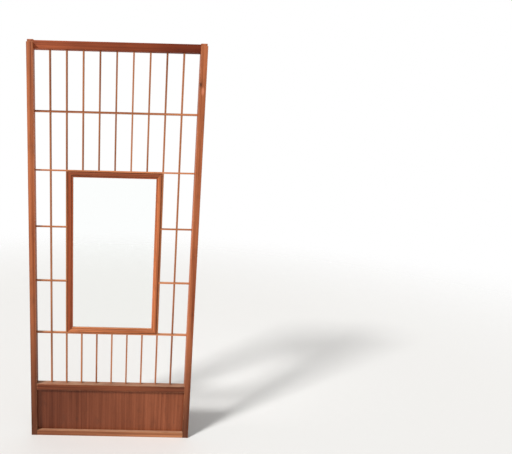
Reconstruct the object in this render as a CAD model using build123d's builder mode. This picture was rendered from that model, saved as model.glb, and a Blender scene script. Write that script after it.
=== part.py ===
from build123d import *
import os

# A sliding screen leaf with a bare paper lattice, a framed pane of glass and a hip board.
# Millimetres. X runs across the leaf, Y through it with the room side at -Y, and Z up.
# The origin lies under the middle of the leaf, on the surface that its foot stands on.
# The lattice is the wood alone: the paper that once covered its back is gone.

# Leaf
leaf_width = 731.0
leaf_height = 1742.0
leaf_depth = 27.0

# Stiles and rails
stile_face = 27.0
top_rail_height = 33.0
top_rail_drop = 4.0
middle_rail_height = 29.0
middle_rail_rise = 227.0
bottom_rail_height = 25.0
arris = 0.8

# Tongue along the head, which runs in the groove of the head track
tongue_set_back = 12.5
tongue_height = 15.0
end_bevel = 2.0

# Joints of the rails in the stiles
tenon_thickness = 8.0
tenon_length = 20.0
tenon_shoulder = 4.0
head_shoulder = 9.0
mortise_gap = 0.1
mortise_end_gap = 1.0

# Lattice
columns = 10
rows = 6
bar_face = 7.0
bar_depth = 11.0
bar_set_back = 15.0
stub_thickness = 3.4
stub_width = 7.0
stub_length = 6.0
lap_gap = 0.05

# Glass frame, which stands inside four of the bars: a raised face with a ledge outside it,
# set back from the bars, and a lip inside it, set back from the face, that the glass is behind
columns_beside_frame = 2
rows_above_frame = 2
rows_below_frame = 1
frame_face = 24.0
frame_arris = 1.0
ledge_width = 4.0
ledge_set_back = 3.0
lip_width = 8.0
lip_set_back = 3.5
lip_thickness = 4.0
rebate_width = 7.0

# Glass and the beads that hold it
glass_thickness = 3.0
glass_edge_gap = 1.0
bead_depth = 3.5
bead_set_in = 0.5
bead_bevel = 1.2

# Brads through the beads
brads_per_side = 4
brads_per_end = 3
brad_diameter = 1.0
brad_length = 14.0
brad_head_diameter = 1.6
brad_head_thickness = 0.5
brad_gap = 0.05

# Hip board in its grooves
board_thickness = 5.0
board_set_back = 12.0
board_tongue = 7.0
groove_depth = 8.0
groove_gap = 0.1

# Chip at a knot in the inner front arris of the right stile
chip_rise = 1578.0
chip_length = 13.0
chip_depth = 2.2

# Places through the leaf
leaf_front = -leaf_depth / 2
leaf_back = leaf_depth / 2
tongue_front = leaf_front + tongue_set_back
tongue_middle = (tongue_front + leaf_back) / 2
bar_front = leaf_front + bar_set_back
bar_back = bar_front + bar_depth
bar_middle = (bar_front + bar_back) / 2
bead_back = bar_back - bead_set_in
glass_back = bead_back - bead_depth
glass_front = glass_back - glass_thickness
lip_front = glass_front - lip_thickness
frame_front = lip_front - lip_set_back
ledge_front = bar_front + ledge_set_back
board_front = leaf_front + board_set_back
board_back = board_front + board_thickness

# Places across and up the leaf
inner_edge = leaf_width / 2 - stile_face
inner_width = 2 * inner_edge
tongue_ledge = leaf_height - tongue_height
rail_top = leaf_height - top_rail_drop
field_top = rail_top - top_rail_height
field_bottom = middle_rail_rise + middle_rail_height
grooved_shoulder = groove_depth + mortise_end_gap

# Uprights leave equal gaps between the stiles; crossbar centres part the field evenly
column_pitch = (inner_width + bar_face) / columns
row_pitch = (field_top - field_bottom) / rows
upright_at = {number: (number - columns / 2) * column_pitch for number in range(1, columns)}
crossbar_at = {number: field_top - number * row_pitch for number in range(1, rows)}

# The bars that the glass frame stands between
left_upright, right_upright = columns_beside_frame, columns - columns_beside_frame
upper_crossbar, lower_crossbar = rows_above_frame, rows - rows_below_frame

# Outline of the glass frame, of its rebate and of its sight opening
frame_right = upright_at[right_upright] - bar_face / 2
frame_left = upright_at[left_upright] + bar_face / 2
frame_top = crossbar_at[upper_crossbar] - bar_face / 2
frame_bottom = crossbar_at[lower_crossbar] + bar_face / 2
rebate_inset = frame_face - rebate_width

LEFT, RIGHT = -1, 1
DOWN, UP = -1, 1


def around(middle, half):
    """Limits that lie evenly about a middle."""
    return (middle - half, middle + half)


def reach(start, length):
    """Limits from a start to a signed length away, lower one first."""
    return (min(start, start + length), max(start, start + length))


def block(x_limits, y_limits, z_limits, mode=Mode.ADD):
    """Adds or cuts the block between three pairs of limits."""
    limits = (x_limits, y_limits, z_limits)
    with Locations(tuple((low + high) / 2 for low, high in limits)):
        Box(*(high - low for low, high in limits), mode=mode)


def facing_front(y):
    """The plane across the leaf at a given depth, looking out of its front."""
    return Plane.XZ.offset(-y)


def save(piece, label):
    """Names a finished piece and writes it to its own file."""
    piece.part.label = label
    export_step(piece.part, f"parts/{label}.step")


# Where a rail's tenon goes: its middle through the leaf, and its limits in height
rail_tenons = {
    "top": (tongue_middle, (field_top + tenon_shoulder, rail_top - head_shoulder)),
    "middle": (0.0, (middle_rail_rise + grooved_shoulder, field_bottom - tenon_shoulder)),
    "bottom": (0.0, (tenon_shoulder, bottom_rail_height - grooved_shoulder)),
}


def rail_tenon(name, side, mortise=False):
    """Limits of a rail's tenon at one side, or of the mortise that takes it."""
    middle, (low, high) = rail_tenons[name]
    gap = mortise_gap if mortise else 0.0
    end_gap = mortise_end_gap if mortise else 0.0
    return (
        reach(side * inner_edge, side * (tenon_length + end_gap)),
        around(middle, tenon_thickness / 2 + gap),
        (low - gap, high + gap),
    )


def upright_stub(x, z, direction, mortise=False):
    """Limits of an upright's stub tenon, or of its mortise, from a shoulder up or down."""
    gap = mortise_gap if mortise else 0.0
    end_gap = mortise_end_gap if mortise else 0.0
    return (
        around(x, stub_thickness / 2 + gap),
        around(bar_middle, stub_width / 2 + gap),
        reach(z, direction * (stub_length + end_gap)),
    )


def crossbar_stub(z, side, mortise=False):
    """Limits of a crossbar's stub tenon, or of its mortise, in the stile at one side."""
    gap = mortise_gap if mortise else 0.0
    end_gap = mortise_end_gap if mortise else 0.0
    return (
        reach(side * inner_edge, side * (stub_length + end_gap)),
        around(bar_middle, stub_width / 2 + gap),
        around(z, stub_thickness / 2 + gap),
    )


def board_slot():
    """The grooves that take the hip board, as one block through rails and stiles."""
    block(
        around(0, inner_edge + groove_depth),
        (board_front - groove_gap, board_back + groove_gap),
        (bottom_rail_height - groove_depth, middle_rail_rise + groove_depth),
        Mode.SUBTRACT,
    )


def edge_chip(x, z):
    """A scoop out of the front arris of a stile, seen along its length."""
    radius = (chip_length**2 / 4 + chip_depth**2) / (2 * chip_depth)
    outward = Vector(-1, -1, 0).normalized()
    centre = Vector(x, leaf_front, z) + outward * (radius - chip_depth)
    with BuildSketch(Plane(origin=centre, z_dir=(1, -1, 0))) as scoop:
        Circle(radius)
    extrude(scoop.sketch, amount=stile_face, both=True, mode=Mode.SUBTRACT)


def stile(label, side):
    with BuildPart() as piece:
        with BuildSketch(Plane.XY):
            with Locations((side * (inner_edge + stile_face / 2), 0)):
                Rectangle(stile_face, leaf_depth)
        extrude(amount=leaf_height)
        block(
            reach(side * inner_edge, side * stile_face),
            (leaf_front, tongue_front),
            (tongue_ledge, leaf_height),
            Mode.SUBTRACT,
        )
        chamfer(piece.faces().sort_by(Axis.Z)[-1].edges(), end_bevel)
        chamfer(piece.edges().filter_by(Axis.Z), arris)
        for name in rail_tenons:
            block(*rail_tenon(name, side, mortise=True), Mode.SUBTRACT)
        for z in crossbar_at.values():
            block(*crossbar_stub(z, side, mortise=True), Mode.SUBTRACT)
        board_slot()
        if side == RIGHT:
            edge_chip(inner_edge, chip_rise)
    save(piece, label)


def rail_stock(name, front, low, high):
    """The bar of a rail between the stiles, with eased arrises and a tenon at each end."""
    with BuildSketch(Plane.YZ.offset(-inner_edge)) as section:
        with Locations(((front + leaf_back) / 2, (low + high) / 2)):
            Rectangle(leaf_back - front, high - low)
    stock = extrude(section.sketch, amount=inner_width)
    chamfer(stock.edges().filter_by(Axis.X), arris)
    for side in (LEFT, RIGHT):
        block(*rail_tenon(name, side))


def top_rail():
    with BuildPart() as piece:
        rail_stock("top", tongue_front, field_top, rail_top)
        for x in upright_at.values():
            block(*upright_stub(x, field_top, UP, mortise=True), Mode.SUBTRACT)
    save(piece, "top_rail")


def middle_rail():
    with BuildPart() as piece:
        rail_stock("middle", leaf_front, middle_rail_rise, field_bottom)
        for x in upright_at.values():
            block(*upright_stub(x, field_bottom, DOWN, mortise=True), Mode.SUBTRACT)
        board_slot()
    save(piece, "middle_rail")


def bottom_rail():
    with BuildPart() as piece:
        rail_stock("bottom", leaf_front, 0, bottom_rail_height)
        board_slot()
    save(piece, "bottom_rail")


def hip_board():
    with BuildPart() as piece:
        block(
            around(0, inner_edge + board_tongue),
            (board_front, board_back),
            (bottom_rail_height - board_tongue, middle_rail_rise + board_tongue),
        )
    save(piece, "hip_board")


def upright(label, x, low, high):
    """A vertical bar, halved in front at each crossbar and stubbed into each rail it meets."""
    with BuildPart() as piece:
        with BuildSketch(Plane.XY.offset(low)):
            with Locations((x, bar_middle)):
                Rectangle(bar_face, bar_depth)
        extrude(amount=high - low)
        if high == field_top:
            block(*upright_stub(x, high, UP))
        if low == field_bottom:
            block(*upright_stub(x, low, DOWN))
        for z in crossbar_at.values():
            if low < z < high:
                block(
                    around(x, bar_face),
                    (bar_front, bar_middle),
                    around(z, bar_face / 2 + lap_gap),
                    Mode.SUBTRACT,
                )
    save(piece, label)


def crossbar(label, z, left, right):
    """A horizontal bar, halved behind at each upright and stubbed into each stile it meets."""
    with BuildPart() as piece:
        with BuildSketch(Plane.YZ.offset(left)):
            with Locations((bar_middle, z)):
                Rectangle(bar_depth, bar_face)
        extrude(amount=right - left)
        if left == -inner_edge:
            block(*crossbar_stub(z, LEFT))
        if right == inner_edge:
            block(*crossbar_stub(z, RIGHT))
        for x in upright_at.values():
            if left < x < right:
                block(
                    around(x, bar_face / 2 + lap_gap),
                    (bar_middle, bar_back),
                    around(z, bar_face),
                    Mode.SUBTRACT,
                )
    save(piece, label)


def uprights():
    for number, x in upright_at.items():
        if left_upright < number < right_upright:
            upright(f"upright_{number}_upper", x, frame_top, field_top)
            upright(f"upright_{number}_lower", x, field_bottom, frame_bottom)
        else:
            upright(f"upright_{number}", x, field_bottom, field_top)


def crossbars():
    for number, z in crossbar_at.items():
        if upper_crossbar < number < lower_crossbar:
            crossbar(f"crossbar_{number}_left", z, -inner_edge, frame_left)
            crossbar(f"crossbar_{number}_right", z, frame_right, inner_edge)
        else:
            crossbar(f"crossbar_{number}", z, -inner_edge, inner_edge)


def corner(name, inset):
    """A corner of the glass frame's outline, drawn in from its outer edge."""
    x = frame_left + inset if "left" in name else frame_right - inset
    z = frame_bottom + inset if "bottom" in name else frame_top - inset
    return (x, z)


# Each side of the glass frame: its two corners and the way out of the opening
frame_sides = {
    "left": ("bottom left", "top left", (-1, 0, 0)),
    "right": ("bottom right", "top right", (1, 0, 0)),
    "bottom": ("bottom left", "bottom right", (0, 0, -1)),
    "top": ("top left", "top right", (0, 0, 1)),
}


def mitred(name, outer_inset, inner_inset):
    """The face of one side of the frame between two insets, mitred at both ends."""
    first, last, _ = frame_sides[name]
    Polygon(
        corner(first, outer_inset),
        corner(last, outer_inset),
        corner(last, inner_inset),
        corner(first, inner_inset),
        align=None,
    )


def brad_places(name):
    """Where the brads of one side enter its bead, at the inner face of the bead."""
    first, last, _ = frame_sides[name]
    (start_x, start_z), (end_x, end_z) = corner(first, frame_face), corner(last, frame_face)
    count = brads_per_side if start_x == end_x else brads_per_end
    shares = [(index + 0.5) / count for index in range(count)]
    y = glass_back + (bead_depth - bead_bevel) / 2
    return [
        (start_x + share * (end_x - start_x), y, start_z + share * (end_z - start_z))
        for share in shares
    ]


def brads_of(name, mode=Mode.ADD):
    """The brads of one side, or the holes that they leave in bead and frame."""
    gap = 0.0 if mode == Mode.ADD else brad_gap
    outward = frame_sides[name][2]
    for place in brad_places(name):
        with BuildSketch(Plane(origin=place, z_dir=outward)) as shank:
            Circle(brad_diameter / 2 + gap)
        extrude(shank.sketch, amount=brad_length + gap, mode=mode)
        with BuildSketch(Plane(origin=place, z_dir=outward)) as head:
            Circle(brad_head_diameter / 2 + gap)
        extrude(head.sketch, amount=brad_head_thickness + gap, mode=mode)


# Steps of the glass frame's section: outer inset, inner inset and front of each
frame_steps = (
    (0, frame_face, ledge_front),
    (ledge_width, frame_face, lip_front),
    (ledge_width, frame_face - lip_width, frame_front),
)


def glass_frame(name):
    with BuildPart() as piece:
        for outer_inset, inner_inset, front in frame_steps:
            with BuildSketch(facing_front(bar_back)):
                mitred(name, outer_inset, inner_inset)
            extrude(amount=bar_back - front)
        front_edges = piece.faces().sort_by(Axis.Y)[0].edges()
        along = Axis.Z if name in ("left", "right") else Axis.X
        chamfer(front_edges.filter_by(along), frame_arris)
        with BuildSketch(facing_front(bar_back)):
            mitred(name, rebate_inset, frame_face)
        extrude(amount=bar_back - glass_front, mode=Mode.SUBTRACT)
        brads_of(name, Mode.SUBTRACT)
    save(piece, f"glass_frame_{name}")


def glass_pane():
    inset = rebate_inset + glass_edge_gap
    left, bottom = corner("bottom left", inset)
    right, top = corner("top right", inset)
    with BuildPart() as piece:
        block((left, right), (glass_front, glass_back), (bottom, top))
    save(piece, "glass_pane")


def glazing_bead(name):
    """The side beads run the full height of the rebate and the others stand between them."""
    left, bottom = corner("bottom left", rebate_inset)
    right, top = corner("top right", rebate_inset)
    x_limits = {
        "left": (left, left + rebate_width),
        "right": (right - rebate_width, right),
    }.get(name, (left + rebate_width, right - rebate_width))
    z_limits = {
        "bottom": (bottom, bottom + rebate_width),
        "top": (top - rebate_width, top),
    }.get(name, (bottom, top))
    with BuildPart() as piece:
        block(x_limits, (glass_back, bead_back), z_limits)
        outward = Vector(*frame_sides[name][2])
        along = Axis.Z if name in ("left", "right") else Axis.X
        back_edges = piece.faces().sort_by(Axis.Y)[-1].edges().filter_by(along)
        inner_back_edge = min(back_edges, key=lambda edge: edge.center().dot(outward))
        chamfer(inner_back_edge, bead_bevel)
        brads_of(name, Mode.SUBTRACT)
    save(piece, f"glazing_bead_{name}")


def bead_brads():
    with BuildPart() as piece:
        for name in frame_sides:
            brads_of(name)
    save(piece, "bead_brads")


os.makedirs("parts", exist_ok=True)

stile("left_stile", LEFT)
stile("right_stile", RIGHT)
top_rail()
middle_rail()
bottom_rail()
hip_board()
uprights()
crossbars()
for side_name in frame_sides:
    glass_frame(side_name)
    glazing_bead(side_name)
glass_pane()
bead_brads()
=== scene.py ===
"""Dresses a packed sliding screen leaf in old stained wood, glass and brass, and lights it.

The solids come from the frame and keep their shapes: each gets its finish, and those with arrises
to round get a slight round on them. Every wooden piece has its own grain, cut from its own log.
"""

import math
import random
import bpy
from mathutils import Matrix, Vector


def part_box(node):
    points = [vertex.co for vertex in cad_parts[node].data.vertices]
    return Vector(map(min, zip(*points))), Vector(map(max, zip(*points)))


bl_info = {
    "name": "Sliding Screen Leaf",
    "version": (1, 0, 0),
    "blender": (4, 5, 0),
    "location": "3D View > Sidebar > Screen Leaf",
    "description": "Finishes, lights and frames a sliding screen leaf with a bare lattice",
    "category": "Object",
}

from typing import NamedTuple

import bpy
from bpy.props import FloatProperty, FloatVectorProperty, IntProperty, PointerProperty
from bpy.types import Operator, Panel, PropertyGroup
from mathutils import Matrix, Vector

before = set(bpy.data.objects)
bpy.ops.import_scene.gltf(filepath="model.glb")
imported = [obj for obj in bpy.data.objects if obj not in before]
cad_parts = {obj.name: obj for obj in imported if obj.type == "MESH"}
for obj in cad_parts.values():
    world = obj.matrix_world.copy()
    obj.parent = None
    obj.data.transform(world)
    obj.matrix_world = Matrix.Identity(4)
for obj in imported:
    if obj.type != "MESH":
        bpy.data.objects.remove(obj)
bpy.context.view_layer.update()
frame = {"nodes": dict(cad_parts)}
NODES = frame["nodes"]

MILLIMETRE = 0.001

# Socket numbers of a Mix node that mixes colours, because its socket names repeat
MIX_SHARE, MIX_FIRST, MIX_SECOND, MIX_COLOUR = 0, 6, 7, 2

WHITE = (1.0, 1.0, 1.0, 1.0)

# Pieces thinner than this wear over less of their width
SLENDER = 20 * MILLIMETRE

# For each grain direction: the axes across the face, through the leaf and along the grain
GRAIN_AXES = {"upright": ("X", "Y", "Z"), "level": ("Z", "Y", "X")}

# The sides of the glass frame, and the way that their grain runs
SIDES = {"left": "upright", "right": "upright", "bottom": "level", "top": "level"}


class Figure(NamedTuple):
    """Blotches of noise: their width and length in metres, and how finely they break up."""

    width: float
    length: float
    detail: float = 2.0
    roughness: float = 0.5


# The value that noise lies about
NOISE_MIDDLE = 0.5

# The figure of the wood, with its lengths along the grain
WANDER = Figure(0.05, 0.25)
UNEVEN_RINGS = Figure(0.02, 0.6, detail=1.0)
STREAKS = Figure(0.0045, 0.40, detail=3.0, roughness=0.6)
BANDS = Figure(0.016, 0.90, detail=1.0)
FIBRES = Figure(0.0006, 0.03)
DRIFT = Figure(0.12, 0.35, detail=1.0)
RUBBED = Figure(0.004, 0.03, detail=3.0)
SOILED = Figure(0.03, 0.08, detail=4.0, roughness=0.6)
PITCH = Figure(0.0028, 0.045, detail=1.0)
DENTS = Figure(0.005, 0.011, detail=1.0)

# The log of a piece: how near and far its heart may lie, how much it may lean, by how many
# blotches its noise may be moved, and how much darker or paler it may be
LOG_HEARTS = (0.035, 0.09)
LOG_LEAN = 0.012
LOG_OFFSET = 40
LOG_TONES = (0.96, 1.04)

# The hip board: cut further from the heart, with broader and fainter streaks
BOARD_HEARTS = (0.10, 0.16)
BOARD_BROAD = 1.2
BOARD_CONTRAST = 0.6

# Rings: how far they wander, how uneven they are, and where in a ring the late wood starts and ends
WANDER_REACH = 10 * MILLIMETRE
UNEVENNESS = 1.6
LATE_STARTS = (0.35, 0.90)
LATE_ENDS = (0.93, 1.0)

# How much each figure adds to the depth of the stain, and the depths where it is palest and darkest
STREAK_DEPTH = 2.6
BAND_DEPTH = 3.2
FIBRE_DEPTH = 0.40
DRIFT_DEPTH = 1.3
DEPTHS = (-0.60, 1.10)

# How far the drift moves the change from one stain to another, as a share of its length
CHANGE_DRIFT = 0.5

# What lies over the stain: the limits between which each comes up, and how much it then hides
WORN_LIMITS, WORN_SHARE = (0.34, 0.62), 0.50
PATCH_LIMITS, PATCH_SHARE = (0.52, 0.80), 0.30
PORE_LIMITS, PORE_SHARE = (0.62, 0.80), 0.22
PITCH_LIMITS, PITCH_SHARE = (0.68, 0.78), 0.38
DUST_LIMITS, DUST_SHARE = (0.5, 0.95), 0.7

# How much late wood, fibres, streaks and dents count in the relief, and where dents come up
LATE_RELIEF, FIBRE_RELIEF, STREAK_RELIEF, DENT_RELIEF = 0.45, 0.35, 0.2, 1.6
DENT_LIMITS = (0.70, 0.80)

# How much rougher rubbed and worn wood is, and how much smoother late wood
RUBBED_ROUGHNESS, WORN_ROUGHNESS, LATE_SMOOTHNESS = 0.22, 0.12, 0.05

# The knot in the right stile: where it lies from the stile's lowest corner, how much taller
# than wide it is, where its swirl starts and ends, and where its dark core does
KNOT_PLACE = Vector((0.004, 0.002, 1.5785))
KNOT_STRETCH = 1.7
KNOT_SWIRL = (0.003, 0.022)
KNOT_CORE = (0.0015, 0.0075)

# How far the swirl pushes the rings, and how much swirl and core hide
SWIRL_PUSH = 9 * MILLIMETRE
SWIRL_SHARE = 0.35
CORE_SHARE = 0.9

# The scrape below it, where fresh wood shows: its place from the knot, its stretch and its rim,
# and the limits of the noise that breaks it up
SCRAPE_PLACE = Vector((0.0095, -0.002, -0.026))
SCRAPE_STRETCH = 3.0
SCRAPE_RIM = (0.002, 0.0075)
SCRAPE_LIMITS = (0.2, 0.6)

# Arrises: how many rays look for one, and how well the rounded normal agrees with the flat one
# on an arris and off it
ARRIS_SAMPLES = 6
ARRIS_LIMITS = (0.80, 0.99)

# Rounding: how near corners are welded, how many faces make a round, which edges are sharp, and
# how strongly the flat faces hold their shading
WELD_REACH = 0.001 * MILLIMETRE
ROUND_FACES = 2
SHARP = math.radians(30)
FLAT_WEIGHT = 100

# Glass: its dust, its wiping marks and the height over which they lean by one blotch, its waves,
# and what makes up the film
GLASS_DUST = Figure(0.05, 0.07, detail=4.0, roughness=0.6)
WIPED = Figure(0.35, 0.02)
WIPED_LEAN = 0.5
WAVES = Figure(0.06, 0.25, detail=1.0)
DUST_OF_FILM, WIPED_OF_FILM = 0.7, 0.3
FILM_LIMITS = (0.48, 0.72)

# Brass: the spots of its tarnish, where they come up, how rough bright brass is, and how much
# rougher the tarnish
SPOTS = Figure(0.5 * MILLIMETRE, 0.5 * MILLIMETRE, detail=3.0)
TARNISH_LIMITS = (0.38, 0.66)
BRIGHT_ROUGHNESS, TARNISH_ROUGHNESS = 0.30, 0.30

# How strongly lacquered wood and glass bend light
LACQUER_IOR = 1.46
GLASS_IOR = 1.5

# The floor's corners, its roughness and its gloss, and the camera sensor's width in millimetres
FLOOR_CORNERS = 96
FLOOR_ROUGHNESS = 0.9
FLOOR_GLOSS = 0.1
SENSOR_WIDTH = 36.0


def linear(red, green, blue):
    """A colour as a screen shows it, 0 to 255 a channel, as the light that shaders work in."""

    def light(value):
        share = value / 255
        return share / 12.92 if share <= 0.04045 else ((share + 0.055) / 1.055) ** 2.4

    return tuple(light(value) for value in (red, green, blue))


def colour_property(name, description, default):
    return FloatVectorProperty(
        name=name, description=description, default=default, subtype="COLOR", min=0.0, max=1.0
    )


def length_property(name, description, default):
    return FloatProperty(
        name=name, description=description, default=default, min=0.0, unit="LENGTH", precision=4
    )


def share_property(name, description, default):
    return FloatProperty(
        name=name, description=description, default=default, min=0.0, max=1.0, subtype="FACTOR"
    )


class WoodSettings(PropertyGroup):
    """Tones and grain of the stained wood."""

    left_stile: colour_property("Left stile", "Stain of the left stile", linear(184, 106, 66))
    right_stile: colour_property("Right stile", "Stain of the right stile", linear(175, 100, 63))
    # The stiles darken towards their feet: partly grime, partly painted shade; the same dark tone
    # also colours the swirl round the knot
    stile_feet: colour_property("Stile feet", "Stain at the foot of a stile", linear(101, 55, 34))
    left_darkened: length_property("Left foot", "How far up the left stile is darkened", 1.1)
    right_darkened: length_property("Right foot", "How far up the right stile is darkened", 0.65)
    # The top rail darkens to its right: partly the wood's own tone, partly painted shade
    top_rail: colour_property("Top rail", "Stain at the left of the top rail", linear(163, 81, 46))
    top_rail_end: colour_property("Top rail end", "Stain at its right", linear(106, 41, 18))
    middle_rail: colour_property("Middle rail", "Stain at the left of it", linear(128, 68, 42))
    middle_rail_end: colour_property("Middle rail end", "Stain at its right", linear(112, 58, 35))
    bottom_rail: colour_property("Bottom rail", "Stain at the left of it", linear(139, 82, 53))
    bottom_rail_end: colour_property("Bottom rail end", "Stain at its right", linear(179, 118, 81))
    # The hip board is darker at its left: partly the board's own tone, partly painted shade
    hip_board: colour_property("Hip board", "Stain at the left of it", linear(114, 60, 39))
    hip_board_end: colour_property("Hip board end", "Stain at its right", linear(144, 80, 52))
    uprights: colour_property("Uprights", "Stain of the upright bars", linear(169, 106, 69))
    # The crossbars' paler stain is a painted highlight of light falling on the level bars
    crossbars: colour_property("Crossbars", "Stain of the level bars", linear(194, 122, 80))
    # The members of the glass frame differ in tone as painted light: the lower and right ones paler
    # as if in sun, the left and top ones darker as painted shade
    glass_frame_left: colour_property("Glass frame left", "Left member", linear(160, 80, 47))
    glass_frame_right: colour_property("Glass frame right", "Right member", linear(190, 110, 68))
    glass_frame_bottom: colour_property("Glass frame foot", "Lower member", linear(209, 127, 81))
    glass_frame_top: colour_property("Glass frame top", "Upper member", linear(162, 86, 53))
    beads: colour_property("Beads", "Stain of the glazing beads", linear(150, 88, 56))
    pale_grain: FloatVectorProperty(
        name="Pale grain", description="Times the stain: early wood", default=(1.26, 1.30, 1.32)
    )
    dark_grain: FloatVectorProperty(
        name="Dark grain", description="Times the stain: late wood", default=(0.42, 0.30, 0.22)
    )
    worn: colour_property("Worn wood", "Wood where the stain has worn off", linear(210, 152, 106))
    scraped: colour_property("Scraped wood", "Fresh wood in the scrape", linear(222, 138, 104))
    knot: colour_property("Knot", "Wood in the core of the knot", linear(70, 32, 12))
    dust: colour_property("Dust", "Dust on what faces up", linear(214, 172, 140))
    grime: colour_property("Grime", "Dirt in the pores and in patches", linear(58, 38, 28))
    ring_width: length_property("Ring width", "Thickness of a year's growth", 1.6 * MILLIMETRE)
    late_wood: share_property("Late wood", "How far the dark rings show", 0.40)
    streaks: share_property("Streaks", "How far the broad streaks show", 0.70)
    frame_wear: length_property("Frame wear", "Reach of the wear on thick pieces", 6.0 * MILLIMETRE)
    bar_wear: length_property("Bar wear", "Reach of the wear on slender pieces", 2.4 * MILLIMETRE)
    relief: length_property("Relief", "Height of the raised grain", 0.12 * MILLIMETRE)
    roughness: share_property("Roughness", "Roughness of the old lacquer", 0.50)
    gloss: share_property("Gloss", "How strongly the old lacquer mirrors", 0.20)
    seed: IntProperty(name="Seed", description="Picks the logs", default=7, min=0)


class GlassSettings(PropertyGroup):
    """The glass pane."""

    tint: colour_property("Tint", "Colour of the glass", (0.975, 0.99, 0.983))
    film: share_property("Film", "Added roughness where dust and wiping marks lie", 0.14)
    clear: share_property("Clear", "Roughness of the clean glass", 0.015)
    waves: length_property("Waves", "Height of the waves in old glass", 0.05 * MILLIMETRE)


class BrassSettings(PropertyGroup):
    """The brads in the beads."""

    bright: colour_property("Bright", "Brass where it is rubbed", linear(214, 178, 104))
    dull: colour_property("Dull", "Tarnished brass", linear(120, 88, 46))


class ArrisSettings(PropertyGroup):
    """How far the arrises are rounded."""

    bar: length_property("Bars", "Round on the bars and the glass frame", 0.5 * MILLIMETRE)
    frame: length_property("Frame", "Round on the stiles, rails and beads", 0.35 * MILLIMETRE)


class StageSettings(PropertyGroup):
    """Floor, lights and camera."""

    floor: colour_property("Floor", "Colour of the floor", (0.80, 0.79, 0.77))
    floor_reach: length_property("Floor reach", "Where the floor has faded out", 7.0)
    floor_hold: length_property("Floor hold", "Where the floor starts to fade", 1.8)
    key_strength: FloatProperty(
        name="Key", description="Strength of the key lamp", default=3.5, min=0.0
    )
    key_softness: FloatProperty(
        name="Key softness",
        description="Angle that the key lamp fills",
        default=math.radians(9.0),
        subtype="ANGLE",
    )
    key_from: FloatVectorProperty(
        name="Key from",
        description="Direction in which the key lamp lies",
        default=(-1.9, -1.15, 1.75),
        subtype="DIRECTION",
    )
    fill_strength: FloatProperty(
        name="Fill", description="Strength of the light from all round", default=0.42, min=0.0
    )
    camera_place: FloatVectorProperty(
        name="Camera place",
        description="Where the camera stands",
        default=(0.0536, -1.355, 1.155),
        subtype="TRANSLATION",
        unit="LENGTH",
    )
    camera_turn: FloatProperty(
        name="Camera turn",
        description="How far the camera turns to the right",
        default=math.radians(0.31),
        subtype="ANGLE",
    )
    camera_tilt: FloatProperty(
        name="Camera tilt",
        description="How far the camera looks down",
        default=math.radians(7.07),
        subtype="ANGLE",
    )
    camera_roll: FloatProperty(
        name="Camera roll",
        description="How far the camera leans to its left",
        default=math.radians(1.4),
        subtype="ANGLE",
    )
    lens: FloatProperty(
        name="Lens",
        description="Focal length in millimetres on a sensor 36 mm wide",
        default=22.15,
        min=1.0,
        unit="CAMERA",
    )
    shift: FloatProperty(
        name="Shift",
        description="How far the picture's frame is moved to the right, in its own widths",
        default=0.25,
    )


class Socket:
    """A shader value that takes part in Python arithmetic: each operator adds a Math node."""

    def __init__(self, finish, output):
        self.finish = finish
        self.output = output

    def maths(self, operation, *values):
        return self.finish.node(
            "ShaderNodeMath", {"operation": operation}, dict(enumerate(values))
        )

    def beside(self, name):
        """Another output of the same node."""
        return Socket(self.finish, self.output.node.outputs[name])

    def __add__(self, other):
        return self.maths("ADD", self, other)

    __radd__ = __add__

    def __sub__(self, other):
        return self.maths("SUBTRACT", self, other)

    def __rsub__(self, other):
        return self.maths("SUBTRACT", other, self)

    def __mul__(self, other):
        return self.maths("MULTIPLY", self, other)

    __rmul__ = __mul__

    def __truediv__(self, other):
        return self.maths("DIVIDE", self, other)

    def __rtruediv__(self, other):
        return self.maths("DIVIDE", other, self)

    def root(self):
        return self.maths("SQRT", self)

    def fraction(self):
        return self.maths("FRACT", self)

    def larger(self, other):
        return self.maths("MAXIMUM", self, other)


class Nodes:
    """The shader nodes of a material or of the world, which owns them."""

    def __init__(self, owner):
        owner.use_nodes = True
        self.owner = owner
        self.tree = owner.node_tree
        self.tree.nodes.clear()

    def node(self, kind, settings=None, sockets=None, output=0):
        """Adds a node, sets it, fills or links its sockets, and gives one of its outputs."""
        made = self.tree.nodes.new(kind)
        for name, value in (settings or {}).items():
            setattr(made, name, value)
        for name, value in (sockets or {}).items():
            if isinstance(value, Socket):
                self.tree.links.new(value.output, made.inputs[name])
            else:
                made.inputs[name].default_value = value
        return Socket(self, made.outputs[output]) if made.outputs else None


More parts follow.
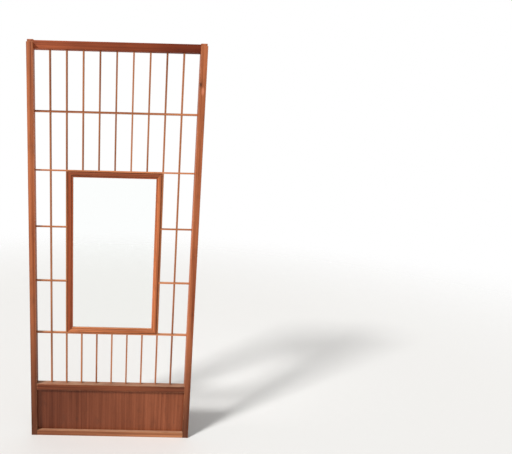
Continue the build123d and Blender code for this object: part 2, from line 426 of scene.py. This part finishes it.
class Finish(Nodes):
    """A material in the making."""

    def __init__(self, name):
        super().__init__(bpy.data.materials.new(name))

    def place(self):
        """Where a point lies in the part, as a vector in metres."""
        return self.node("ShaderNodeTexCoord", output="Object")

    def apart(self, vector):
        """The three numbers of a vector, by axis."""
        first = self.node("ShaderNodeSeparateXYZ", sockets={"Vector": vector})
        return {axis: first.beside(axis) for axis in "XYZ"}

    def together(self, x, y, z):
        return self.node("ShaderNodeCombineXYZ", sockets={"X": x, "Y": y, "Z": z})

    def noise(self, vector, figure):
        """Soft noise, one blotch to each unit of the vector, broken up as the figure says."""
        sockets = {
            "Vector": vector,
            "Scale": 1.0,
            "Detail": figure.detail,
            "Roughness": figure.roughness,
        }
        return self.node("ShaderNodeTexNoise", sockets=sockets)

    def rise(self, value, low, high):
        """0 below one limit and 1 above the other, with a smooth rise between them."""
        return self.node(
            "ShaderNodeMapRange",
            {"interpolation_type": "SMOOTHSTEP"},
            {"Value": value, "From Min": low, "From Max": high},
        )

    def mix(self, share, first, second):
        """The second colour over the first, by a share."""
        return self.node(
            "ShaderNodeMix",
            {"data_type": "RGBA"},
            {MIX_SHARE: share, MIX_FIRST: first, MIX_SECOND: second},
            MIX_COLOUR,
        )

    def arris(self, width):
        """1 on an arris, and 0 further from it than a width."""
        rounded = self.node("ShaderNodeBevel", {"samples": ARRIS_SAMPLES}, {"Radius": width})
        flat = self.node("ShaderNodeNewGeometry", output="Normal")
        agreement = self.node(
            "ShaderNodeVectorMath", {"operation": "DOT_PRODUCT"}, {0: rounded, 1: flat}, "Value"
        )
        return 1 - self.rise(agreement, *ARRIS_LIMITS)

    def tinted(self, colour, tint):
        """One colour times another."""
        return self.node("ShaderNodeVectorMath", {"operation": "MULTIPLY"}, {0: colour, 1: tint})

    def length(self, vector):
        return self.node("ShaderNodeVectorMath", {"operation": "LENGTH"}, {0: vector}, "Value")

    def oval(self, vector, middle, stretch, rim):
        """1 in an oval about a point, taller than wide by a stretch, fading to 0 over its rim."""
        squeezed = self.node(
            "ShaderNodeMapping",
            {"vector_type": "TEXTURE"},
            {"Vector": vector, "Location": middle, "Scale": (1.0, 1.0, stretch)},
        )
        return 1 - self.rise(self.length(squeezed), *rim)

    def bump(self, height, distance):
        return self.node(
            "ShaderNodeBump", sockets={"Height": height, "Distance": distance, "Strength": 1.0}
        )

    def surface(self, **sockets):
        """Ends the material in one Principled shader."""
        named = {name.replace("_", " "): value for name, value in sockets.items()}
        shader = self.node("ShaderNodeBsdfPrincipled", sockets=named)
        self.node("ShaderNodeOutputMaterial", sockets={"Surface": shader})
        return self.owner


def rgba(colour):
    return (*colour, 1.0)


def swing(noise):
    """How far noise lies above or below its middle."""
    return noise - NOISE_MIDDLE


class Log:
    """The log that a piece was cut from: where its heart lay, its lean, its noise and its tone."""

    def __init__(self, name, seed, hearts=LOG_HEARTS):
        choice = random.Random(f"{seed} {name}")
        angle = choice.uniform(0, 2 * math.pi)
        distance = choice.uniform(*hearts)
        self.heart = (distance * math.cos(angle), distance * math.sin(angle))
        self.lean = choice.uniform(-LOG_LEAN, LOG_LEAN)
        self.offset = choice.uniform(0, LOG_OFFSET)
        self.tone = choice.uniform(*LOG_TONES)


def stained_wood(
    name,
    grain,
    wood,
    stain,
    end_stain=None,
    change=None,
    log=None,
    broad=1.0,
    contrast=1.0,
    knot=None,
):
    """Old stained softwood with rings about the heart of its log, streaks, wear and grime.

    The grain runs upright or level. The stain may change to an end stain, along an axis and over
    a length in metres. Broad scales the width of the streaks, and contrast how far they show. A
    knot is given by its place in metres, and has a scrape below it.
    """
    finish = Finish(f"{name}_wood")
    log = log or Log(name, wood.seed)
    low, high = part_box(name)
    place = finish.place()
    parts = finish.apart(place)
    across, through, along = (parts[axis] for axis in GRAIN_AXES[grain])
    across_axis, through_axis, _ = (axis.lower() for axis in GRAIN_AXES[grain])
    middle = (low + high) / 2

    def noise(figure, broad=1.0):
        """Noise of a figure along the grain, whose width may be broadened."""
        wide = figure.width * broad
        vector = finish.together(
            across / wide + log.offset, through / wide, along / figure.length + log.offset
        )
        return finish.noise(vector, figure)

    # Rings: the distance from the heart, which wanders a little along the log
    heart_across = getattr(middle, across_axis) + log.heart[0]
    heart_through = getattr(middle, through_axis) + log.heart[1]
    from_heart_across = (
        across - heart_across + along * log.lean + swing(noise(WANDER)) * WANDER_REACH
    )
    from_heart_through = through - heart_through
    distance = (
        from_heart_across * from_heart_across + from_heart_through * from_heart_through
    ).root()
    if knot is not None:
        swirl = finish.oval(place, knot, KNOT_STRETCH, KNOT_SWIRL)
        distance = distance + swirl * SWIRL_PUSH
    uneven = noise(UNEVEN_RINGS) * UNEVENNESS
    ring = (distance / wood.ring_width + uneven).fraction()
    late = finish.rise(ring, *LATE_STARTS) * (1 - finish.rise(ring, *LATE_ENDS))

    # Streaks of stain, fine fibres and a slow drift of tone
    streak = noise(STREAKS, broad)
    band = noise(BANDS, broad)
    fibre = noise(FIBRES)
    drift = noise(DRIFT)
    depth = finish.rise(
        late * wood.late_wood
        + swing(streak) * (STREAK_DEPTH * contrast * wood.streaks)
        + swing(band) * (BAND_DEPTH * contrast * wood.streaks)
        + swing(fibre) * FIBRE_DEPTH
        + swing(drift) * DRIFT_DEPTH,
        *DEPTHS,
    )
    base = tuple(stain)
    if end_stain is not None:
        axis, length = change
        start = getattr(low, axis.lower())
        reach = parts[axis] + swing(drift) * (CHANGE_DRIFT * length)
        base = finish.mix(
            finish.rise(reach, start, start + length), rgba(stain), rgba(end_stain)
        )
    pale, dark = (
        rgba(log.tone * channel for channel in tint)
        for tint in (wood.pale_grain, wood.dark_grain)
    )
    stained = finish.tinted(base, finish.mix(depth, pale, dark))

    # Wear on the arrises, broken up by the grain
    blotch = noise(RUBBED)
    reach_of_wear = wood.bar_wear if min(high - low) < SLENDER else wood.frame_wear
    worn = finish.arris(reach_of_wear) * finish.rise(blotch, *WORN_LIMITS)
    worn_through = finish.mix(worn * WORN_SHARE, stained, rgba(wood.worn))

    # Grime in patches and in the pores, and short dark streaks of pitch
    patches = noise(SOILED)
    dirt = (
        finish.rise(patches, *PATCH_LIMITS) * PATCH_SHARE
        + finish.rise(fibre, *PORE_LIMITS) * PORE_SHARE
        + finish.rise(noise(PITCH), *PITCH_LIMITS) * PITCH_SHARE
    )
    soiled = finish.mix(dirt, worn_through, rgba(wood.grime))
    if knot is not None:
        core = finish.oval(place, knot, KNOT_STRETCH, KNOT_CORE)
        scrape = finish.oval(place, Vector(knot) + SCRAPE_PLACE, SCRAPE_STRETCH, SCRAPE_RIM)
        broken_scrape = scrape * finish.rise(blotch, *SCRAPE_LIMITS)
        soiled = finish.mix(swirl * SWIRL_SHARE, soiled, rgba(wood.stile_feet))
        soiled = finish.mix(broken_scrape, soiled, rgba(wood.scraped))
        soiled = finish.mix(core * CORE_SHARE, soiled, rgba(wood.knot))

    # Dust on what faces up
    upward = finish.apart(finish.node("ShaderNodeNewGeometry", output="Normal"))["Z"]
    dust = finish.rise(upward, *DUST_LIMITS) * patches * DUST_SHARE
    dusty = finish.mix(dust, soiled, rgba(wood.dust))

    dents = finish.rise(noise(DENTS), *DENT_LIMITS)
    height = (
        late * LATE_RELIEF + fibre * FIBRE_RELIEF + streak * STREAK_RELIEF - dents * DENT_RELIEF
    )
    rough = (
        wood.roughness
        + swing(blotch) * RUBBED_ROUGHNESS
        + worn * WORN_ROUGHNESS
        - late * LATE_SMOOTHNESS
    )
    return finish.surface(
        Base_Color=dusty,
        Roughness=rough,
        Normal=finish.bump(height, wood.relief),
        IOR=LACQUER_IOR,
        Specular_IOR_Level=wood.gloss,
    )


def dress(name, material, round_over=None):
    """Gives a node its finish and, where it has arrises, a slight round on them."""
    piece = NODES[name]
    for material_slot in piece.material_slots:
        material_slot.material = material
    if round_over:
        weld = piece.modifiers.new("One skin", "WELD")
        weld.merge_threshold = WELD_REACH
        bevel = piece.modifiers.new("Rounded arrises", "BEVEL")
        bevel.width = round_over
        bevel.segments = ROUND_FACES
        bevel.limit_method = "ANGLE"
        bevel.angle_limit = SHARP
        bevel.use_clamp_overlap = True
        flats = piece.modifiers.new("Flat faces", "WEIGHTED_NORMAL")
        flats.keep_sharp = False
        flats.weight = FLAT_WEIGHT


class ScreenLeafStiles(Operator):
    """Finish the two stiles, and the knot in the arris of the right one"""

    bl_idname = "screen_leaf.stiles"
    bl_label = "Finish the stiles"

    def execute(self, context):
        wood = context.scene.screen_wood
        arrises = context.scene.screen_arrises
        low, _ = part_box("right_stile")
        stiles = (
            ("left_stile", wood.left_stile, wood.left_darkened, None),
            ("right_stile", wood.right_stile, wood.right_darkened, low + KNOT_PLACE),
        )
        # Each stile darkens from its stain to the foot tone over the given height: partly grime,
        # partly painted shade
        for name, stain, darkened, knot in stiles:
            change = ("Z", darkened)
            material = stained_wood(
                name, "upright", wood, wood.stile_feet, stain, change=change, knot=knot
            )
            dress(name, material, arrises.frame)
        return {"FINISHED"}


class ScreenLeafRails(Operator):
    """Finish the top, middle and bottom rails"""

    bl_idname = "screen_leaf.rails"
    bl_label = "Finish the rails"

    def execute(self, context):
        wood = context.scene.screen_wood
        arrises = context.scene.screen_arrises
        # The darker right end of the top rail is partly painted shade
        stains = {
            "top_rail": (wood.top_rail, wood.top_rail_end),
            "middle_rail": (wood.middle_rail, wood.middle_rail_end),
            "bottom_rail": (wood.bottom_rail, wood.bottom_rail_end),
        }
        for name, stain in stains.items():
            low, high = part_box(name)
            change = ("X", high.x - low.x)
            material = stained_wood(name, "level", wood, *stain, change=change)
            dress(name, material, arrises.frame)
        return {"FINISHED"}


class ScreenLeafHipBoard(Operator):
    """Finish the thin board below the middle rail"""

    bl_idname = "screen_leaf.hip_board"
    bl_label = "Finish the hip board"

    def execute(self, context):
        wood = context.scene.screen_wood
        log = Log("hip_board", wood.seed, BOARD_HEARTS)
        low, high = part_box("hip_board")
        # Its darker left end is partly painted shade
        material = stained_wood(
            "hip_board",
            "upright",
            wood,
            wood.hip_board,
            wood.hip_board_end,
            change=("X", high.x - low.x),
            log=log,
            broad=BOARD_BROAD,
            contrast=BOARD_CONTRAST,
        )
        dress("hip_board", material)
        return {"FINISHED"}


class ScreenLeafLattice(Operator):
    """Finish every bar of the lattice"""

    bl_idname = "screen_leaf.lattice"
    bl_label = "Finish the lattice"

    def execute(self, context):
        wood = context.scene.screen_wood
        arrises = context.scene.screen_arrises
        # The level bars take a paler stain than the upright ones: a painted highlight
        kinds = (
            ("upright_", "upright", wood.uprights),
            ("crossbar_", "level", wood.crossbars),
        )
        for kind, grain, stain in kinds:
            for name in sorted(n for n in NODES if n.startswith(kind)):
                material = stained_wood(name, grain, wood, stain)
                dress(name, material, arrises.bar)
        return {"FINISHED"}


class ScreenLeafGlassFrame(Operator):
    """Finish the frame round the glass"""

    bl_idname = "screen_leaf.glass_frame"
    bl_label = "Finish the glass frame"

    def execute(self, context):
        wood = context.scene.screen_wood
        arrises = context.scene.screen_arrises
        # Each member takes its own tone; the differences between them are painted light and shade
        for side, grain in SIDES.items():
            name = f"glass_frame_{side}"
            material = stained_wood(name, grain, wood, getattr(wood, name))
            dress(name, material, arrises.bar)
        return {"FINISHED"}


class ScreenLeafBeads(Operator):
    """Finish the beads behind the glass"""

    bl_idname = "screen_leaf.beads"
    bl_label = "Finish the glazing beads"

    def execute(self, context):
        wood = context.scene.screen_wood
        arrises = context.scene.screen_arrises
        for side, grain in SIDES.items():
            name = f"glazing_bead_{side}"
            material = stained_wood(name, grain, wood, wood.beads)
            dress(name, material, arrises.frame)
        return {"FINISHED"}


class ScreenLeafGlassPane(Operator):
    """Finish the pane as old clear glass with a little dust on it"""

    bl_idname = "screen_leaf.glass_pane"
    bl_label = "Finish the glass pane"

    def execute(self, context):
        glass = context.scene.screen_glass
        finish = Finish("glass_pane_glass")
        place = finish.apart(finish.place())
        x, z = place["X"], place["Z"]

        def noise(figure, lean=0.0):
            """Noise of a figure upright in the pane, moved sideways by a lean in blotches."""
            vector = finish.together(x / figure.width + lean, 0.0, z / figure.length)
            return finish.noise(vector, figure)

        dust = noise(GLASS_DUST)
        wiped = noise(WIPED, z / WIPED_LEAN)
        film = finish.rise(dust * DUST_OF_FILM + wiped * WIPED_OF_FILM, *FILM_LIMITS)
        waves = noise(WAVES)
        material = finish.surface(
            Base_Color=rgba(glass.tint),
            Roughness=glass.clear + film * glass.film,
            Normal=finish.bump(waves, glass.waves),
            Transmission_Weight=1.0,
            IOR=GLASS_IOR,
        )
        dress("glass_pane", material)
        NODES["glass_pane"].visible_shadow = False
        return {"FINISHED"}


class ScreenLeafBrads(Operator):
    """Finish the brass brads in the beads"""

    bl_idname = "screen_leaf.brads"
    bl_label = "Finish the brads"

    def execute(self, context):
        brass = context.scene.screen_brass
        finish = Finish("bead_brads_brass")
        place = finish.apart(finish.place())
        scaled = finish.together(*(place[axis] / SPOTS.width for axis in "XYZ"))
        tarnish = finish.rise(finish.noise(scaled, SPOTS), *TARNISH_LIMITS)
        material = finish.surface(
            Base_Color=finish.mix(tarnish, rgba(brass.bright), rgba(brass.dull)),
            Metallic=1.0,
            Roughness=BRIGHT_ROUGHNESS + tarnish * TARNISH_ROUGHNESS,
        )
        dress("bead_brads", material)
        return {"FINISHED"}


def white_world(scene, fill_strength):
    """White to the camera, in reflections and through glass, and a plain fill on all else."""
    scene.world = bpy.data.worlds.new("Studio")
    studio = Nodes(scene.world)
    ray = studio.node("ShaderNodeLightPath", output="Is Camera Ray")
    seen = ray.larger(ray.beside("Is Glossy Ray")).larger(ray.beside("Is Transmission Ray"))
    strength = fill_strength + seen * (1.0 - fill_strength)
    background = studio.node("ShaderNodeBackground", sockets={"Color": WHITE, "Strength": strength})
    studio.node("ShaderNodeOutputWorld", sockets={"Surface": background})


def add_floor(stage):
    """A pale round floor that fades out at its rim."""
    bpy.ops.mesh.primitive_circle_add(
        vertices=FLOOR_CORNERS, radius=stage.floor_reach, fill_type="NGON", location=(0, 0, 0)
    )
    floor = bpy.context.active_object
    floor.name = "Floor"
    finish = Finish("pale_floor")
    distance = finish.length(finish.place())
    floor.data.materials.append(
        finish.surface(
            Base_Color=rgba(stage.floor),
            Roughness=FLOOR_ROUGHNESS,
            Specular_IOR_Level=FLOOR_GLOSS,
            Alpha=1 - finish.rise(distance, stage.floor_hold, stage.floor_reach),
        )
    )


def add_key(stage):
    """A broad lamp from the upper left in front."""
    lamp = bpy.data.lights.new("Key", "SUN")
    lamp.energy = stage.key_strength
    lamp.angle = stage.key_softness
    key = bpy.data.objects.new("Key", lamp)
    key.rotation_euler = Vector(stage.key_from).to_track_quat("Z", "Y").to_euler()
    bpy.context.scene.collection.objects.link(key)


def add_camera(stage):
    """The camera in front of the leaf, a little to its right and above its middle."""
    lens = bpy.data.cameras.new("Camera")
    lens.sensor_width = SENSOR_WIDTH
    lens.lens = stage.lens
    lens.shift_x = stage.shift
    camera = bpy.data.objects.new("Camera", lens)
    turn = Matrix.Rotation(-stage.camera_turn, 4, "Z")
    tilt = Matrix.Rotation(math.pi / 2 - stage.camera_tilt, 4, "X")
    roll = Matrix.Rotation(stage.camera_roll, 4, "Z")
    camera.matrix_world = Matrix.Translation(stage.camera_place) @ turn @ tilt @ roll
    bpy.context.scene.collection.objects.link(camera)
    bpy.context.scene.camera = camera


class ScreenLeafStage(Operator):
    """Set the floor, the lights and the camera"""

    bl_idname = "screen_leaf.stage"
    bl_label = "Set the stage"

    def execute(self, context):
        stage = context.scene.screen_stage
        white_world(context.scene, stage.fill_strength)
        add_floor(stage)
        add_key(stage)
        add_camera(stage)
        context.scene.view_settings.view_transform = "Standard"
        return {"FINISHED"}


OPERATORS = (
    ScreenLeafStiles,
    ScreenLeafRails,
    ScreenLeafHipBoard,
    ScreenLeafLattice,
    ScreenLeafGlassFrame,
    ScreenLeafBeads,
    ScreenLeafGlassPane,
    ScreenLeafBrads,
    ScreenLeafStage,
)

SETTINGS = {
    "screen_wood": WoodSettings,
    "screen_glass": GlassSettings,
    "screen_brass": BrassSettings,
    "screen_arrises": ArrisSettings,
    "screen_stage": StageSettings,
}


class ScreenLeafPanel(Panel):
    """Lists the steps that finish the leaf"""

    bl_idname = "SCREEN_LEAF_PT_steps"
    bl_label = "Screen Leaf"
    bl_space_type = "VIEW_3D"
    bl_region_type = "UI"
    bl_category = "Screen Leaf"

    def draw(self, context):
        for operator in OPERATORS:
            self.layout.operator(operator.bl_idname)


def register():
    for group in SETTINGS.values():
        bpy.utils.register_class(group)
    for name, group in SETTINGS.items():
        setattr(bpy.types.Scene, name, PointerProperty(type=group))
    for kind in (*OPERATORS, ScreenLeafPanel):
        bpy.utils.register_class(kind)


def unregister():
    for kind in (ScreenLeafPanel, *reversed(OPERATORS)):
        bpy.utils.unregister_class(kind)
    for name in SETTINGS:
        delattr(bpy.types.Scene, name)
    for group in SETTINGS.values():
        bpy.utils.unregister_class(group)


def main():
    register()
    bpy.ops.screen_leaf.stiles()
    bpy.ops.screen_leaf.rails()
    bpy.ops.screen_leaf.hip_board()
    bpy.ops.screen_leaf.lattice()
    bpy.ops.screen_leaf.glass_frame()
    bpy.ops.screen_leaf.beads()
    bpy.ops.screen_leaf.glass_pane()
    bpy.ops.screen_leaf.brads()
    bpy.ops.screen_leaf.stage()


if __name__ == "__main__":
    main()
